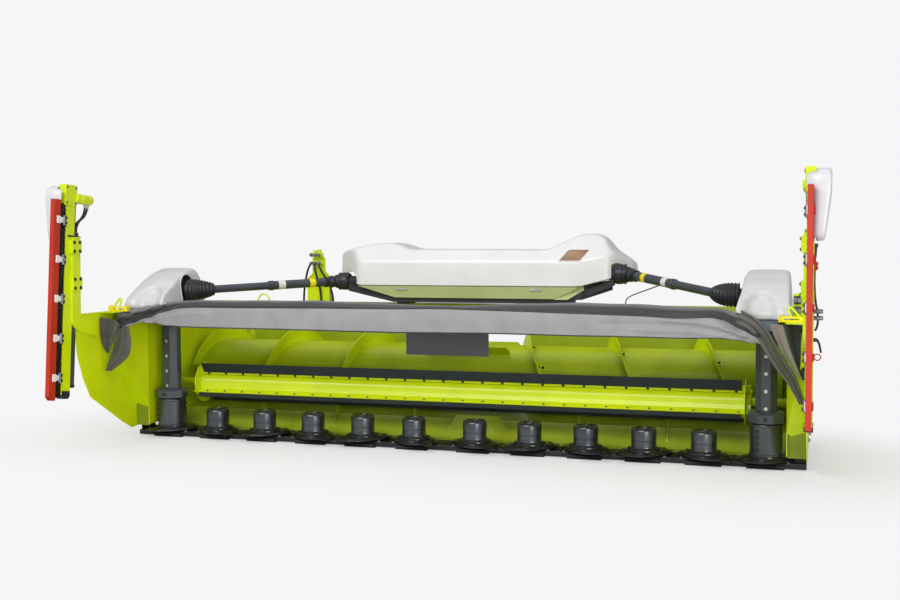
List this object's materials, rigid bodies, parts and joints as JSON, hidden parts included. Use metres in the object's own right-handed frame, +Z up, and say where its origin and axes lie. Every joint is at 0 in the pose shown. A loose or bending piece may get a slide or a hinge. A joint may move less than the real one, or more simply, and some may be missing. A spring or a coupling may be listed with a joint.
{
  "type": "disc mower",
  "caption": "Wide front disc mower with oval discs, a paddle roller and a cross auger between lime side plates, with upright side knives and white covers.",
  "frame": {"origin": "on the ground under the middle of the whole mower", "axes": "+X along the mower bar to its right end as seen from the front, +Y back to the hitch, +Z up"},
  "size_m": [5.44, 2.6049, 1.9855],
  "materials": {
    "disc_black": "satin black paint",
    "bar_steel": "dark grey worn steel",
    "lime_paint": "bright lime gloss paint",
    "grey_paint": "satin dark grey paint",
    "dark_casting": "dark cast housing",
    "white_plastic": "smooth white moulding",
    "olive_plastic": "olive green moulding",
    "black_plastic": "black shaft guards",
    "rubber_black": "black rubber strip",
    "grey_cloth": "grey coated cloth",
    "red_paint": "red gloss paint",
    "knife_steel": "dark oiled steel",
    "tinted_pane": "brown tinted clear pane",
    "yellow_plastic": "yellow plastic",
    "hose_rubber": "black hydraulic hose"
  },
  "bodies": {
    "mower_frame": {"centre_drive": "dark_casting", "corner_plates": "yellow_plastic", "crop_flap": "grey_paint", "drive_input": "grey_paint", "drive_shafts": "black_plastic", "end_covers": "white_plastic", "frame_hoses": "hose_rubber", "front_apron": "grey_cloth", "front_beam": "lime_paint", "guard_frame": "lime_paint", "hitch_frame": "lime_paint", "hose_bracket": "lime_paint", "knife_bars": "knife_steel", "knife_beams": "lime_paint", "knife_covers": "white_plastic", "knife_ducts": "grey_paint", "knife_guards": "red_paint", "knife_hoses": "hose_rubber", "lid_tray": "olive_plastic", "mower_bar": "bar_steel", "rear_frame": "lime_paint", "side_panels": "lime_paint", "side_plates": "lime_paint", "stand_brackets": "lime_paint", "tower_gearboxes": "dark_casting", "towers": "grey_paint", "trough": "lime_paint"},
    "disc_01_body": {"disc_01": "disc_black"},
    "disc_02_body": {"disc_02": "disc_black"},
    "disc_03_body": {"disc_03": "disc_black"},
    "disc_04_body": {"disc_04": "disc_black"},
    "disc_05_body": {"disc_05": "disc_black"},
    "disc_06_body": {"disc_06": "disc_black"},
    "disc_07_body": {"disc_07": "disc_black"},
    "disc_08_body": {"disc_08": "disc_black"},
    "disc_09_body": {"disc_09": "disc_black"},
    "disc_10_body": {"disc_10": "disc_black"},
    "disc_11_body": {"disc_11": "disc_black"},
    "disc_12_body": {"disc_12": "disc_black"},
    "auger_body": {"auger": "lime_paint", "auger_flights": "lime_paint"},
    "paddle_body": {"paddle_roller": "lime_paint", "paddle_strips": "rubber_black"},
    "stand_left_body": {"stand_left": "lime_paint"},
    "stand_right_body": {"stand_right": "lime_paint"},
    "lid_body": {"centre_lid": "white_plastic", "lid_window": "tinted_pane"}
  },
  "joints": [
    {"name": "disc_01_spin", "type": "hinge", "parent": "mower_frame", "child": "disc_01_body", "pos_m": [-2.3135, -0.09802, 0.046], "axis": [0, 0, 1], "continuous": true},
    {"name": "disc_02_spin", "type": "hinge", "parent": "mower_frame", "child": "disc_02_body", "pos_m": [-1.8985, -0.09802, 0.046], "axis": [0, 0, 1], "continuous": true},
    {"name": "disc_03_spin", "type": "hinge", "parent": "mower_frame", "child": "disc_03_body", "pos_m": [-1.4835, -0.09802, 0.046], "axis": [0, 0, 1], "continuous": true},
    {"name": "disc_04_spin", "type": "hinge", "parent": "mower_frame", "child": "disc_04_body", "pos_m": [-1.0685, -0.09802, 0.046], "axis": [0, 0, 1], "continuous": true},
    {"name": "disc_05_spin", "type": "hinge", "parent": "mower_frame", "child": "disc_05_body", "pos_m": [-0.6535, -0.09802, 0.046], "axis": [0, 0, 1], "continuous": true},
    {"name": "disc_06_spin", "type": "hinge", "parent": "mower_frame", "child": "disc_06_body", "pos_m": [-0.2385, -0.09802, 0.046], "axis": [0, 0, 1], "continuous": true},
    {"name": "disc_07_spin", "type": "hinge", "parent": "mower_frame", "child": "disc_07_body", "pos_m": [0.2385, -0.09802, 0.046], "axis": [0, 0, 1], "continuous": true},
    {"name": "disc_08_spin", "type": "hinge", "parent": "mower_frame", "child": "disc_08_body", "pos_m": [0.6535, -0.09802, 0.046], "axis": [0, 0, 1], "continuous": true},
    {"name": "disc_09_spin", "type": "hinge", "parent": "mower_frame", "child": "disc_09_body", "pos_m": [1.0685, -0.09802, 0.046], "axis": [0, 0, 1], "continuous": true},
    {"name": "disc_10_spin", "type": "hinge", "parent": "mower_frame", "child": "disc_10_body", "pos_m": [1.4835, -0.09802, 0.046], "axis": [0, 0, 1], "continuous": true},
    {"name": "disc_11_spin", "type": "hinge", "parent": "mower_frame", "child": "disc_11_body", "pos_m": [1.8985, -0.09802, 0.046], "axis": [0, 0, 1], "continuous": true},
    {"name": "disc_12_spin", "type": "hinge", "parent": "mower_frame", "child": "disc_12_body", "pos_m": [2.3135, -0.09802, 0.046], "axis": [0, 0, 1], "continuous": true},
    {"name": "auger_spin", "type": "hinge", "parent": "mower_frame", "child": "auger_body", "pos_m": [0, 0.67202, 0.52], "axis": [1, 0, 0], "continuous": true},
    {"name": "paddle_spin", "type": "hinge", "parent": "mower_frame", "child": "paddle_body", "pos_m": [0, 0.17198, 0.41], "axis": [1, 0, 0], "continuous": true},
    {"name": "stand_left_fold", "type": "hinge", "parent": "mower_frame", "child": "stand_left_body", "pos_m": [-1.9, 1.17302, 0.33], "axis": [0, -1, 0], "range_deg": [0, 90]},
    {"name": "stand_right_fold", "type": "hinge", "parent": "mower_frame", "child": "stand_right_body", "pos_m": [1.9, 1.17302, 0.33], "axis": [0, 1, 0], "range_deg": [0, 90]},
    {"name": "lid_open", "type": "hinge", "parent": "mower_frame", "child": "lid_body", "pos_m": [0, 1.30598, 1.19], "axis": [-1, 0, 0], "range_deg": [0, 55]}
  ],
  "couplings": [
    {"joint": "disc_02_spin", "follows": "disc_01_spin", "ratio": 1},
    {"joint": "disc_03_spin", "follows": "disc_01_spin", "ratio": 1},
    {"joint": "disc_04_spin", "follows": "disc_01_spin", "ratio": 1},
    {"joint": "disc_05_spin", "follows": "disc_01_spin", "ratio": 1},
    {"joint": "disc_06_spin", "follows": "disc_01_spin", "ratio": 1},
    {"joint": "disc_07_spin", "follows": "disc_01_spin", "ratio": -1},
    {"joint": "disc_08_spin", "follows": "disc_01_spin", "ratio": -1},
    {"joint": "disc_09_spin", "follows": "disc_01_spin", "ratio": -1},
    {"joint": "disc_10_spin", "follows": "disc_01_spin", "ratio": -1},
    {"joint": "disc_11_spin", "follows": "disc_01_spin", "ratio": -1},
    {"joint": "disc_12_spin", "follows": "disc_01_spin", "ratio": -1}
  ]
}
